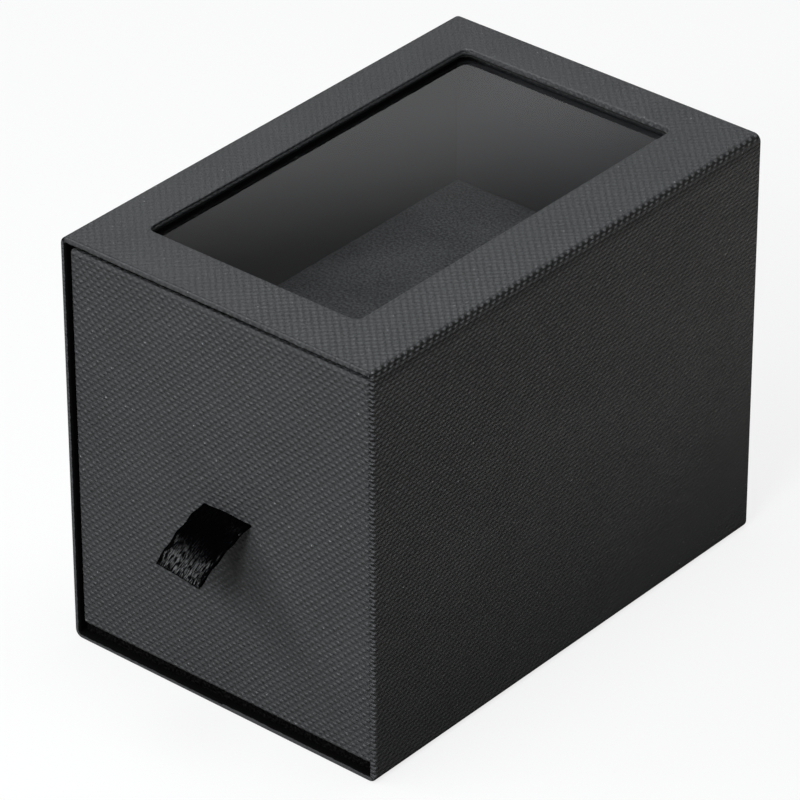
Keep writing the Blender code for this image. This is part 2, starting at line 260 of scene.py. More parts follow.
def linen(finish, place, rope, lean, shift):
    """Heights of the embossed threads. `rope` is how deep the grooves between the long threads
    are, `lean` how far the threads' backs slant, and `shift` moves the grooves aside."""
    bend = finish.noise(place, 330, 1) - 0.5
    drift = finish.noise(place, 45, 1) - 0.5
    along, across, _ = finish.parts(place)
    u = (along / thread_pitch + bend * 0.34 + drift * 0.5) * math.pi
    v = (across / thread_pitch + bend * 0.26 - drift * 0.4) * math.pi
    over = u.math("COSINE") * v.math("COSINE") + u.math("SINE") * v.math("SINE") * lean
    groove = 1 - abs((v + shift).math("COSINE")) ** 0.7
    slubs = finish.noise(place, 700, 1, 0.6) + 0.5
    return (over * 0.42 - over * over * shift * 0.06 + 0.55 - groove * rope) * slubs


def embossed_paper(name, flat_place, pressed=even_press, wear_and_shade=None):
    """The wrap's finish, laid on the flat coordinates that a function gives. `pressed` says how
    deep the rollers went in, which also sets how much darker the hollows are painted as shade, how
    rough the paper's tooth is and how the threads lie. `wear_and_shade` says where the paper is
    rubbed smooth and where it is painted black, both as a lining and as painted shade."""
    finish = Finish(name, Roughness=0.5, Specular_IOR_Level=0.4)
    place = flat_place(finish)
    depth, tooth, rope, lean, shift = pressed(finish, place)
    height = linen(finish, place, rope, lean, shift)
    fibres = finish.noise(place, 2100, 2, 0.7)
    blotches = finish.noise(place, 60, 3, 0.6)
    # The height term paints the emboss's hollows darker and its tops lighter: painted shade of the
    # relief, added to the bump. Fibres and blotches are the paper's own tone.
    shade = (height - 0.5) * depth * 0.40 + 0.48
    shade = shade + (fibres - 0.5) * tooth * 1.1 + (blotches - 0.5) * 0.25
    colour = finish.blend(shade, paper_dark, paper_light)
    # Painted highlights: bright specks put into the colour on the tops of the threads.
    painted_glints = finish.noise(place, 1500, 0).between(0.76, 0.86) * height.between(0.4, 0.9)
    colour = finish.blend(painted_glints, colour, painted_glint_colour)
    relief = height * depth + fibres * tooth * 0.5
    if wear_and_shade:
        smooth, black = wear_and_shade(finish, place, height)
        rubbed = smooth * rubbing
        colour = finish.blend(rubbed, colour, paper_rubbed)
        relief = relief * (1 - rubbed)
        # The black mixed in here is the lining and painted shade at the mouth, as a dull shader.
        finish.show(finish.mixed(black, finish.shader.outputs[0], finish.diffuse(lining_and_shade_black)))
    finish.set("Base Color", colour)
    finish.set("Roughness", 0.58 - height * 0.10 + (fibres - 0.5) * 0.3)
    finish.bump(relief, emboss_depth)
    return finish.material


def from_unwrapped(finish):
    return finish.node("UVMap", {"uv_map": "flat_sheet"})


def from_unwrapped_turned(finish):
    """The same with along and across changed round, for a sheet cut the other way from the roll."""
    return finish.turned(from_unwrapped(finish), (0, 0, math.pi / 2))


def from_upright(finish):
    """Flat coordinates of a sheet that stands across the box."""
    return finish.turned(finish.in_box(), (math.pi / 2, 0, 0))


wrap_paper = embossed_paper("wrap_paper", from_unwrapped_turned)
base_sheet_paper = embossed_paper("base_sheet_paper", Finish.in_box)
back_sheet_paper = embossed_paper("back_sheet_paper", from_upright)
print("embossed paper: a thread every", round(thread_pitch / MM, 2), "mm")

# %% [markdown]
# ## Wrapping a sheet round a box
#
# A wrap starts as a flat ring round the box, and is swept over the board's edges: back edge,
# side, front edge and in. Starting from a cube with its edges bevelled would be quicker, but a
# swept sheet knows how far each point is along the paper, and the emboss needs that.
#
# `ring` draws a rectangle with rounded corners. `sweep` extrudes it through a list of steps,
# each a depth inside the outer face and a place along the box. Where the paper goes deeper than
# the corner's radius, the corner becomes sharp, as in a real mitred fold.

# %% Ring and sweep
paper = 0.14 * MM
touch = 0.01 * MM
support = 0.35 * MM
arc_steps = 6


def cut(bm, axis, place):
    """Adds points where a plane square to the X or Y axis meets the mesh."""
    side = Vector((1, 0, 0) if axis == 0 else (0, 1, 0))
    geometry = [*bm.verts, *bm.edges, *bm.faces]
    bmesh.ops.bisect_plane(bm, geom=geometry, plane_co=side * place, plane_no=side)


def ring(bm, half, radius, cuts):
    """A rectangle with rounded corners in the XY plane, cut at the places along X and Y given."""
    made = bmesh.ops.create_grid(bm, x_segments=1, y_segments=1, size=1)
    bmesh.ops.scale(bm, vec=(half[0], half[1], 1), verts=made["verts"])
    bmesh.ops.bevel(
        bm, geom=made["verts"], offset=radius, segments=arc_steps, profile=0.5,
        affect="VERTICES", material=-1,
    )
    bmesh.ops.delete(bm, geom=list(bm.faces), context="FACES_ONLY")
    for axis, place in cuts:
        cut(bm, axis, place)
    return list(bm.edges)


def moved_in(point, half, radius, depth):
    """A point of the ring moved in from the outer face, with sharp corners past the radius."""
    centre = [max(-half[i] + radius, min(half[i] - radius, point[i])) for i in (0, 1)]
    out = Vector((point[0] - centre[0], point[1] - centre[1])).normalized()
    limit = [half[i] - depth for i in (0, 1)]
    moved = [centre[i] + out[i] * (radius - depth) for i in (0, 1)]
    return [max(-limit[i], min(limit[i], moved[i])) for i in (0, 1)]


def extruded(bm, edges):
    """Extrudes edges and says which old point each new point came from."""
    made = bmesh.ops.extrude_edge_only(bm, edges=edges)["geom"]
    verts = [item for item in made if isinstance(item, bmesh.types.BMVert)]
    new = set(verts)
    pairs = {}
    for vert in verts:
        neighbours = (edge.other_vert(vert) for edge in vert.link_edges)
        pairs[vert] = next(other for other in neighbours if other not in new)
    return [item for item in made if isinstance(item, bmesh.types.BMEdge)], pairs


def sweep(bm, edges, half, radius, steps, place):
    """Sweeps a ring through its steps. Returns where each point lies on the flat sheet: its point
    of the outer ring, and its distance along the paper."""
    start = {vert: tuple(vert.co[:2]) for edge in edges for vert in edge.verts}
    sheet = {}
    travelled = 0
    for number, (depth, along) in enumerate(steps):
        if number:
            edges, pairs = extruded(bm, edges)
            start = {vert: start[old] for vert, old in pairs.items()}
            travelled += math.dist((depth, along), steps[number - 1])
        for vert, point in start.items():
            across = moved_in(point, half, radius, depth)
            vert.co = place(across[0], across[1], along)
            sheet[vert] = (point, travelled)
    return sheet


def wrap(half, radius, steps, place):
    """Sweeps a sheet round a box. Rows of points beside the corners keep its faces flat."""
    bm = bmesh.new()
    edge, side = half[0] - radius - support, half[1] - radius - support
    cuts = [(0, 0), (0, edge), (0, -edge), (1, side), (1, -side)]
    sheet = sweep(bm, ring(bm, half, radius, cuts), half, radius, steps, place)
    return bm, sheet, edge


def quarter(depth, along, start, end, radius):
    """Steps round a quarter of a circle about a centre, between two angles in degrees."""
    angles = [math.radians(start + (end - start) * i / arc_steps) for i in range(arc_steps + 1)]
    return [(depth + radius * math.cos(a), along + radius * math.sin(a)) for a in angles]


def cut_out(bm, faces):
    """Takes a flat panel out of a sheet and returns the edges round it."""
    edges = {edge for face in faces for edge in face.edges}
    hem = [edge for edge in edges if sum(face in faces for face in edge.link_faces) == 1]
    bmesh.ops.delete(bm, geom=faces, context="FACES")
    return hem


def join(bm, other, on_rim):
    """Adds another sheet to this one and returns the edges of its rim."""
    carrier = bpy.data.meshes.new("carrier")
    other.to_mesh(carrier)
    other.free()
    before = set(bm.edges)
    bm.from_mesh(carrier)
    bpy.data.meshes.remove(carrier)
    added = [edge for edge in bm.edges if edge not in before]
    return [edge for edge in added if all(on_rim(vert.co) for vert in edge.verts)]


def fill(bm, edges):
    """Fills a flat panel between its outline and a hole."""
    made = bmesh.ops.triangle_fill(bm, use_beauty=True, edges=edges)
    return [item for item in made["geom"] if isinstance(item, bmesh.types.BMFace)]


print("wrapping helpers ready")

# %% [markdown]
# ## The paper's flat coordinates
#
# A point on a side of the box gets its distance round the ring, starting from the middle of the
# top, and its distance along the sweep. The ring closes at the middle of the base, where the real
# paper has its lap. A panel that was filled by itself simply uses its place in the box, which
# agrees with the ring's own numbers, so the threads run on without a break.

# %% Flat coordinates and a piece from a mesh
def round_the_ring(point, half, radius, side):
    """Distance round the ring from the middle of its +Y side, positive towards +X."""
    x, y = abs(point[0]), point[1]
    straight_x, straight_y = half[0] - radius, half[1] - radius
    arc = radius * math.pi / 2
    if x <= straight_x and y > 0:
        distance = x
    elif y >= straight_y:
        distance = straight_x + radius * math.atan2(x - straight_x, y - straight_y)
    elif y > -straight_y:
        distance = straight_x + arc + straight_y - y
    elif x >= straight_x:
        distance = straight_x + arc + 2 * straight_y
        distance += radius * math.atan2(-straight_y - y, x - straight_x)
    else:
        distance = straight_x * 2 + 2 * arc + 2 * straight_y - x
    return math.copysign(distance, side)


def lay_flat(bm, sheet, half, radius, panel_place):
    """Writes the flat coordinates of every face into the mesh's UV map: along the sweep, and round
    the ring."""
    layer = bm.loops.layers.uv.new("flat_sheet")
    for face in bm.faces:
        swept = all(vert in sheet for vert in face.verts)
        middle = sum(sheet[vert][0][0] for vert in face.verts) if swept else 0
        for loop in face.loops:
            if swept:
                point, travelled = sheet[loop.vert]
                flat = (round_the_ring(point, half, radius, middle), travelled)
            else:
                flat = panel_place(loop.vert.co, face.normal)
            loop[layer].uv = flat[::-1]


def settle(bm, outward, sheet, half, radius, panel_place):
    """Turns a wrap's faces out, gives them flat coordinates and welds the seams."""
    bmesh.ops.recalc_face_normals(bm, faces=bm.faces)
    foremost = max(bm.faces, key=lambda face: face.calc_center_median().dot(outward))
    if foremost.normal.dot(outward) < 0:
        bmesh.ops.reverse_faces(bm, faces=bm.faces)
    lay_flat(bm, sheet, half, radius, panel_place)
    bmesh.ops.remove_doubles(bm, verts=bm.verts, dist=touch / 2)


def placed(name, bm, material):
    """An object at the origin from a mesh."""
    mesh = bpy.data.meshes.new(name)
    bm.to_mesh(mesh)
    bm.free()
    mesh.materials.append(material)
    made = bpy.data.objects.new(name, mesh)
    scene.collection.objects.link(made)
    return made


def piece(name, bm, material, body, *replaced):
    """A smooth object that rides on a body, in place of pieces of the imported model."""
    made = placed(name, bm, material)
    made.data.shade_smooth()
    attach(made, body)
    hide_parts(*replaced)
    return made


def thicken(made, thickness, offset=-1):
    """Gives a sheet its thickness, away from the side that shows."""
    modifier = made.modifiers.new("thickness", "SOLIDIFY")
    modifier.thickness = thickness
    modifier.offset = offset


print("flat coordinates ready")

# %% [markdown]
# ## The sleeve's paper
#
# The sleeve is wrapped like a tube. The paper starts on the back, under the back sheet, comes
# over the long sides, rolls over the board at the mouth and ends 15 mm inside. Its folds are
# never knife sharp: the board's corner is about 2 mm round along the box and tighter at the
# mouth. Two rows close to each fold keep the flat faces flat when the shading is smoothed.

# %% Sleeve paper as a swept tube
sleeve_low, sleeve_high = (Vector(corner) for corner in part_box("sleeve_wrap"))
sleeve_half = ((sleeve_high.x - sleeve_low.x) / 2, (sleeve_high.z - sleeve_low.z) / 2)
sleeve_middle = (sleeve_high.z + sleeve_low.z) / 2
sleeve_length = sleeve_high.y - sleeve_low.y
sleeve_radius = 2.0 * MM
wall = 1.68 * MM
lip = 0.4 * MM
back_lip = 0.6 * MM
turn_in = 15.0 * MM
back_turn_over = 12.0 * MM


def sleeve_place(x, z, along):
    """The mouth is at 0 along, and the paper is a little uneven at its fold there."""
    wave = noise.noise(Vector((x * 60, along * 40, z * 60))) * 0.05 * MM
    near_mouth = max(0, 1 - along / (6 * MM))
    return Vector((x, sleeve_low.y + along + wave * near_mouth, sleeve_middle + z))


def sleeve_steps():
    """Depth and distance from the mouth, from the turned edge on the back to the one inside."""
    steps = [(back_turn_over, sleeve_length), (back_lip + support, sleeve_length)]
    steps += quarter(back_lip, sleeve_length - back_lip, 90, 180, back_lip)
    steps += [(0, sleeve_length - back_lip - support), (0, lip + support)]
    steps += quarter(lip, lip, 180, 270, lip)
    steps += quarter(wall - lip, lip, 270, 360, lip)
    steps += [(wall, lip + support), (wall, turn_in)]
    return steps


bm, sleeve_sheet, edge_cut = wrap(sleeve_half, sleeve_radius, sleeve_steps(), sleeve_place)
print("sleeve paper:", len(bm.faces), "faces")

# %% [markdown]
# ## The window in the sleeve's paper
#
# At the window the paper is slit to its corners, turned down over the board's edge and glued
# underneath. The flat part of the top is taken out, a rounded rectangle is swept down and
# outwards to make the turned edge, and the flat between the two outlines is filled again.

# %% Window edge
film_low, film_high = (Vector(corner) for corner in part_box("window_film"))
film_overlap = 8.0 * MM
window_low = Vector((film_low.x + film_overlap, film_low.y + film_overlap))
window_high = Vector((film_high.x - film_overlap, film_high.y - film_overlap))
window_half = tuple((window_high - window_low) / 2)
window_centre = (window_low + window_high) / 2
window_radius = 2.0 * MM
window_lip = 0.45 * MM
window_turn_in = 8.0 * MM
window_unevenness = 0.22 * MM
mouth_rows, back_rows = 0.6 * MM, 0.8 * MM
quarter_shares = [i / 4 for i in range(-3, 4)]


def window_place(x, y, down):
    """The turned edge isn't cut dead straight."""
    at = Vector((window_centre.x + x, window_centre.y + y, sleeve_high.z - down))
    fade = min(1, down / window_lip)
    at.x += noise.noise(Vector((0, at.y * 90, 3))) * window_unevenness * fade
    at.y += noise.noise(Vector((at.x * 90, 0, 7))) * window_unevenness * fade
    return at


def window_steps():
    """Depth inside the opening's outline, which is negative outwards, and distance down."""
    steps = quarter(-window_lip, window_lip, 270, 360, window_lip)
    under = wall - window_lip
    steps += quarter(-window_lip, under, 0, 90, window_lip)
    steps += [(-window_turn_in, wall)]
    return steps


def flat_of_top(face):
    """Whether a face lies wholly in the top, away from its rounded edges."""
    return face.normal.z ** 2 > 0.99 and all(
        vert.co.z > sleeve_high.z - touch and abs(vert.co.x) < edge_cut + touch
        and sleeve_low.y + mouth_rows < vert.co.y < sleeve_high.y - back_rows
        for vert in face.verts
    )


hem = cut_out(bm, [face for face in bm.faces if flat_of_top(face)])
hole = bmesh.new()
window_cuts = [(axis, sign * (window_half[axis] - 6 * MM)) for axis in (0, 1) for sign in (-1, 1)]
window_cuts += [(1, window_half[1] * share) for share in quarter_shares]
window_cuts += [(0, window_half[0] * share) for share in (-0.6, -0.3, 0, 0.3, 0.6)]
rim = ring(hole, window_half, window_radius, window_cuts)
sweep(hole, rim, window_half, window_radius, window_steps(), window_place)
rim = join(bm, hole, lambda at: at.z > sleeve_high.z - 0.1 * touch)
panel = fill(bm, hem + rim)
print("window edge:", len(rim), "edges round the opening, panel of", len(panel), "faces")

# %% [markdown]
# ## Marks at the mouth
#
# The mouth is where hands wear the paper. It is pulled tight over the board's edge, so the
# emboss is rubbed flat there, most on the left and below. Creases run in from each corner, and a
# dark line is painted along the fold above as shade in its crease. Just inside begins the black
# lining, painted there as the shade of the recess. The grooves along the long edges, a band under
# them and the lower walls are darkened as painted shade. All these are places on the flat sheet,
# so they can be painted without a picture: how far past the fold, and how far from a corner.
#
# Black colour under a shiny coat still looks grey in this light. So the black is a second, dull
# shader, and the marks say how much of it is mixed in.

# %% Sleeve paper as a piece
sheet_along = sum(math.dist(a, b) for a, b in zip(sleeve_steps(), sleeve_steps()[1:]))
front_at = sheet_along - turn_in - wall - 2 * lip * (math.pi / 2 - 2)
corner_at = [
    sleeve_half[0] - sleeve_radius + sleeve_radius * math.pi / 4,
    sleeve_half[0] + 2 * sleeve_half[1] - 3 * sleeve_radius + sleeve_radius * math.pi * 3 / 4,
]


def mouth_marks(finish, place, height):
    """Where the mouth is rubbed smooth, and where it is painted black as a lining and as shade."""
    top_corner, base_corner = corner_at
    along, across, _ = finish.parts(place)
    aside = abs(across)
    past_fold = along - (front_at - lip)
    to_left, to_right = 1 - across.past(-top_corner), across.past(top_corner)
    to_base = aside.past(base_corner)
    smooth = past_fold.between(-0.1 * MM, 0.25 * MM) * (to_left.most(to_base) * 0.75 + 0.20)

    # The black lining is painted shade for the recess inside the mouth. It has a ragged edge and
    # starts deeper on the right. Then come the mitres and the painted shade along the fold above.
    ragged = (finish.noise(place, 500, 1) - 0.5) * 0.4 * MM
    inner = past_fold - ragged + to_left * 0.25 * MM - to_right * (1 - to_base) * 0.8 * MM
    black = inner.between(1.35 * MM, 1.60 * MM)
    for corner in corner_at:
        mitre = aside.around(corner, 0.02 * MM, 0.16 * MM) * past_fold.between(0.1 * MM, 0.4 * MM)
        black = black.most(mitre * 0.9)
    # A dark line along the fold above: painted shade in its crease.
    above = 1 - aside.between(top_corner - 1 * MM, top_corner)
    black = black.most(past_fold.around(0.05 * MM, 0.06 * MM, 0.24 * MM) * above * 0.5)

    # Painted shade: the grooves at the long edges, a band under them and the lower walls are
    # darkened.
    down = aside - top_corner
    edge_groove_shade = down.around(0, 0.3 * MM, 1.3 * MM) * (1 - height.between(0.35, 0.75)) * 0.75
    wall_shade = down.between(0.2 * MM, 0.9 * MM) * (1 - down.between(1.5 * MM, 4.5 * MM)) * 0.3
    wall_shade = wall_shade.most(down.between(45 * MM, 105 * MM) * 0.22)
    wall_shade = wall_shade * (1 - past_fold.between(-0.6 * MM, -0.1 * MM))
    return smooth, black.most(edge_groove_shade.most(wall_shade))


def sleeve_press(finish, place):
    """The emboss is deepest near the mouth's right edge. On the walls it is deeper, its threads
    lean and the grooves lie half a thread aside. Depth also sets how much darker the hollows are
    painted, so the strong pattern on the walls, fading down them and away from the mouth, is
    largely painted shade of the relief."""
    along, across, _ = finish.parts(place)
    top_corner = corner_at[0]
    aside = abs(across)
    on_wall = aside.between(top_corner - 1 * MM, top_corner + 2 * MM)
    to_right = across.between(-30 * MM, 36 * MM) * 0.38 + 0.38
    from_mouth = (front_at - along) / sleeve_length
    down = (aside - top_corner).most(0) / (sleeve_half[1] * 2)
    depth = (to_right + on_wall * 1.14) * (1.1 - from_mouth * 0.5 - down * 0.75)
    tooth = 1.6 - on_wall * 0.6
    rope, lean, shift = on_wall * 0.75 + 0.30, on_wall * 0.70 + 0.05, on_wall * math.pi / 2
    return depth, tooth, rope, lean, shift


def sleeve_panel_place(at, normal):
    """Flat coordinates of the top panel and of the window's turned edge."""
    if abs(normal.x) > 0.7:
        return at.z, front_at - (at.y - sleeve_low.y)
    if abs(normal.y) > 0.7:
        return at.x, at.z
    return at.x, front_at - (at.y - sleeve_low.y)


up = Vector((0, 0, 1))
settle(bm, up, sleeve_sheet, sleeve_half, sleeve_radius, sleeve_panel_place)
sleeve_finish = embossed_paper("sleeve_wrap_paper", from_unwrapped, sleeve_press, mouth_marks)
sleeve_paper = piece("sleeve_paper", bm, sleeve_finish, "sleeve", "sleeve_wrap")
thicken(sleeve_paper, paper)
print("sleeve paper:", len(sleeve_paper.data.polygons), "faces")

# %% [markdown]
# ## The drawer's paper
#
# The drawer is wrapped the other way up: the paper starts under the walls, comes up their outer
# faces, rolls over the top edges and ends 18 mm down inside. The same ring and sweep make it, this
# time stood on end. The front has a slit for the ribbon, and the ribbon's pull draws the paper in
# a little all round it, so the slit's rings sink towards it.

# %% Drawer paper
drawer_low, drawer_high = (Vector(corner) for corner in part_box("drawer_wrap"))
drawer_half = tuple(((drawer_high - drawer_low) / 2)[:2])
drawer_centre = (drawer_low + drawer_high) / 2
drawer_height = drawer_high.z - drawer_low.z
drawer_radius = 0.7 * MM
drawer_turn_in = 18.0 * MM
slot_centre = Vector((1.8 * MM, 53.2 * MM))
slot_half = (7.15 * MM, 0.32 * MM)
slot_radius = 0.2 * MM
dent_depth, dent_reach = 0.13, 2.6  # in mm
rim_rows = 0.6 * MM


def drawer_place(x, y, up):
    return Vector((drawer_centre.x + x, drawer_centre.y - y, drawer_low.z + up))


def drawer_steps():
    r, h = drawer_radius, drawer_height
    steps = [(wall, 0), (r + support, 0)] + quarter(r, r, 270, 180, r)
    steps += [(0, r + support), (0, h - r - support)] + quarter(r, h - r, 180, 90, r)
    steps += quarter(wall - r, h - r, 90, 0, r)
    return steps + [(wall, h - r - support), (wall, h - drawer_turn_in)]


def flat_of_front(face):
    """Whether a face lies wholly in the front, away from its rounded edges."""
    return all(
        vert.co.y < drawer_low.y + touch and abs(vert.co.x) < edge_cut + touch
        and drawer_low.z + rim_rows < vert.co.z < drawer_high.z - rim_rows
        for vert in face.verts
    )


def slot_place(x, z, back):
    return Vector((slot_centre.x + x, drawer_low.y + back, slot_centre.y + z))


def slot_steps():
    """Rings that sink towards the slit, then the paper's turn into it."""
    steps = []
    for out in (9, 7, 5.5, 4.4, 3.5, 2.8, 2.2, 1.7, 1.2, 0.8, 0.5, 0.25):
        sunk = dent_depth * math.exp(-(out / dent_reach) ** 2) + (9 - out) * 0.001
        steps.append((-out * MM, sunk * MM))
    return steps + [(-0.08 * MM, 0.16 * MM), (0, 0.3 * MM), (0, 1.6 * MM)]


bm, drawer_sheet, edge_cut = wrap(drawer_half, drawer_radius, drawer_steps(), drawer_place)
hem = cut_out(bm, [face for face in bm.faces if flat_of_front(face)])
slit = bmesh.new()
slot_cuts = [(0, slot_half[0] * share) for share in quarter_shares]
rim = ring(slit, slot_half, slot_radius, slot_cuts)
sweep(slit, rim, slot_half, slot_radius, slot_steps(), slot_place)
rim = join(bm, slit, lambda at: at.y < drawer_low.y + 0.01 * touch)
panel = fill(bm, hem + rim)


def drawer_panel_place(at, normal):
    return at.x, at.z - drawer_low.z + wall + drawer_radius * (math.pi / 2 - 2)


forward = Vector((0, -1, 0))
settle(bm, forward, drawer_sheet, drawer_half, drawer_radius, drawer_panel_place)
drawer_paper = piece("drawer_paper", bm, wrap_paper, "drawer", "drawer_wrap")
thicken(drawer_paper, paper)
print("drawer paper:", len(drawer_paper.data.polygons), "faces, front panel of", len(panel))

# %% [markdown]
# ## Black satin ribbon
#
# The pull is a 15 mm satin ribbon, folded in half, with both ends glued inside the front. It
# leaves the slit nearly level, droops under its own weight and is skewed, so its right edge reaches
# further. Cloth simulation would find much the same curve, but the ribbon is stiff for its
# length and the photograph shows exactly how it hangs, so its side view is written as a formula
# and the strip swept along it.
#
# Satin is nearly all long threads that run with the ribbon, and they give the light back in
# streaks. One rough shader would turn the whole ribbon grey, because it takes some light from all
# round. So there are two: a glossy one in narrow streaks along the strip, and dead black between
# them. Over the half of the ribbon nearest the slit the streaks fade into the dead black, as
# painted shade.

# %% Satin finish
def satin():
    finish = Finish("black_satin", Roughness=0.1, Specular_IOR_Level=0.3)
    flat = from_unwrapped(finish)
    threads = finish.noise(finish.stretched(flat, (1, 0.15, 1)), 3400, 3, 0.6)
    coarse = finish.noise(finish.stretched(flat, (1, 0.30, 1)), 1600, 2, 0.6)
    shade = threads * 0.7 + coarse * 0.3
    colour = finish.blend(shade, (0.0002, 0.0002, 0.0003), (0.0014, 0.0012, 0.0016))
    finish.set("Base Color", colour)
    finish.set("Roughness", 0.07 + threads * 0.06)
    finish.bump(threads * 0.7 + coarse * 0.9, 0.07 * MM)
    # Painted shade: near the slit the streaks fade into the dead black.
    root_painted_shade = 1 - finish.parts(flat)[1].between(25 * MM, 32 * MM)
    streaks = threads.between(0.42, 0.60) * coarse.between(0.34, 0.56) * (1 - root_painted_shade * 0.85)
    dark = finish.diffuse((0.0006, 0.0006, 0.0008))
    finish.show(finish.mixed(streaks, dark, finish.shader.outputs[0]))
    return finish.material


ribbon_finish = satin()

# %% Ribbon pull
ribbon_width = 15.0 * MM
ribbon_thickness = 0.16 * MM
ribbon_reach = 16.5 * MM
ribbon_drop = 7.6 * MM
ribbon_droop = 1.75
ribbon_slope = 0.25
ribbon_skew = 0.05
ribbon_curl = 1.45 * MM
ribbon_wave = 0.30 * MM
ribbon_ripple = 0.13 * MM
ribbon_tail = 14.0 * MM
layer = 0.14 * MM
fold = 0.15 * MM
bend_radius = 0.5 * MM
inside = 2.085 * MM


def side_view():
    """The ribbon's path as (out, up) from the slit's middle, from the upper tail to the lower."""
    bend = (-inside + bend_radius, layer + bend_radius)
    tail = [(-inside, bend[1] + ribbon_tail * share) for share in (1, 0.66, 0.33)]
    for i in range(7):
        angle = math.pi + math.pi / 2 * i / 6
        ahead, rise = bend_radius * math.cos(angle), bend_radius * math.sin(angle)
        tail.append((bend[0] + ahead, bend[1] + rise))
    upper, lower = [], []
    for i in range(29):
        share = i / 28
        sunk = ribbon_slope * share + (1 - ribbon_slope) * share ** ribbon_droop
        steep = ribbon_slope + (1 - ribbon_slope) * ribbon_droop * share ** (ribbon_droop - 1)
        centre = Vector((ribbon_reach * share, -ribbon_drop * sunk))
        slope = -ribbon_drop / ribbon_reach * steep
        normal = Vector((-slope, 1)).normalized()
        spread = layer + (fold - layer) * share * share * (3 - 2 * share)
        upper.append(centre + normal * spread)
        lower.append(centre - normal * spread)
    start = math.atan2(normal.y, normal.x)
    tip = []
    for i in range(1, 12):
        angle = start - math.pi * i / 12
        tip.append(centre + spread * Vector((math.cos(angle), math.sin(angle))))
    below = [(out, -up) for out, up in reversed(tail)]
    return [Vector(p) for p in tail] + upper + tip + lower[::-1] + [Vector(p) for p in below]


def ribbon_point(side, out, up, travelled):
    """A point of the strip. `side` runs from -1 to 1 across it. Outside the slit the strip is
    skewed, arched at its root and a little wavy at its selvedges."""
    past = max(0, out)
    free = min(1, past / (4 * MM))
    reach = out + past * ribbon_skew * side
    wave = ribbon_wave * math.sin(travelled * 1100 + side * 2.1) * abs(side) ** 8 * free
    curl = ribbon_curl * (1 - side ** 2) * min(1, past / (0.5 * MM)) * math.exp(-past / (4 * MM))
    ripple = ribbon_ripple * noise.noise(Vector((side * 1.7, travelled * 160, 2))) * free
    narrowed = 0.965 - 0.01 * free - 0.03 * math.exp(-past / (1 * MM))
    x = slot_centre.x + side * ribbon_width / 2 * narrowed
    return Vector((x, drawer_low.y - reach, slot_centre.y + up + wave + curl + ripple))


path = side_view()
bm = bmesh.new()
columns = 16
row = [bm.verts.new((-1 + 2 * i / columns, 0, 0)) for i in range(columns + 1)]
edges = [bm.edges.new(pair) for pair in zip(row, row[1:])]
sides = {vert: vert.co.x for vert in row}
flat = {}
travelled = 0
for number, (out, up) in enumerate(path):
    if number:
        edges, pairs = extruded(bm, edges)
        sides = {vert: sides[old] for vert, old in pairs.items()}
        travelled += (path[number] - path[number - 1]).length
    for vert, side in sides.items():
        vert.co = ribbon_point(side, out, up, travelled)
        flat[vert] = (side * ribbon_width / 2, travelled)
layer_uv = bm.loops.layers.uv.new("flat_sheet")
for face in bm.faces:
    for loop in face.loops:
        loop[layer_uv].uv = flat[loop.vert]
bmesh.ops.recalc_face_normals(bm, faces=bm.faces)
ribbon = piece("satin_ribbon_pull", bm, ribbon_finish, "drawer", "ribbon_pull")
thicken(ribbon, ribbon_thickness, 0)
print("ribbon:", round(travelled / MM, 1), "mm long,", len(path), "rows")

# %% [markdown]
# ## The foam insert
#
# Through the film shows a dark, grainy platform: the foam block that the gift lies on. Its
# top is fine open foam, so it has no clean highlight and a coarse random grain. The block is a
# cube with rounded upper edges, cut into a grid and lowered by up to a third of a millimetre of
# noise, and the grain itself is colour and bump.

# %% Foam
def foam_finish():
    finish = Finish("black_foam", Roughness=0.95, Specular_IOR_Level=0.12)
    where = finish.in_box()
    grain = finish.noise(where, 1500, 3, 0.65)
    cells = finish.cells(where, 1300)
    patches = finish.noise(where, 70, 2)
    shade = grain.between(0.30, 0.72) * 0.8 + (1 - cells) * 0.15 + (patches - 0.5) * 0.5
    colour = finish.blend(shade, (0.011, 0.0108, 0.0112), (0.092, 0.0915, 0.094))
    finish.set("Base Color", colour)
    finish.bump(grain * 0.7 - cells * 0.6, 0.35 * MM)
    return finish.material


foam_low, foam_high = (Vector(corner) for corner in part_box("foam_insert"))
bm = bmesh.new()
bmesh.ops.create_cube(bm, size=1)
bmesh.ops.scale(bm, vec=foam_high - foam_low, verts=bm.verts)
bmesh.ops.translate(bm, vec=(foam_low + foam_high) / 2, verts=bm.verts)
top = foam_high.z - touch
upper = [edge for edge in bm.edges if all(vert.co.z > top for vert in edge.verts)]
bmesh.ops.bevel(
    bm, geom=upper, offset=1.5 * MM, segments=5, profile=0.5, affect="EDGES", material=-1,
)
for axis, count in ((0, 28), (1, 44)):
    for i in range(1, count):
        cut(bm, axis, foam_low[axis] + (foam_high[axis] - foam_low[axis]) * i / count)
for vert in bm.verts:
    if vert.co.z > foam_high.z - 1 * MM:
        dip = 0.12 + 0.12 * noise.noise(vert.co * 140) + 0.10 * noise.noise(vert.co * 500)
        vert.co.z -= abs(dip) * MM
foam = piece("foam_block", bm, foam_finish(), "drawer", "foam_insert")
print("foam:", len(foam.data.polygons), "faces")

# %% [markdown]
# ## Clear film
#
# The window is a thin clear sheet. Seen at a slant it mirrors a part of what stands beyond the
# box, and lets the rest of the light through. Glass with refraction would be heavier and would
# darken the inside, so the film is a mirror mixed with plain transparency, and Fresnel decides the
# share. Only the upper side mirrors: from below, Fresnel would take the sheet for thick glass and
# turn slanting light back, and the foam would look darker. Dust and hair-thin scratches show as
# dull specks.

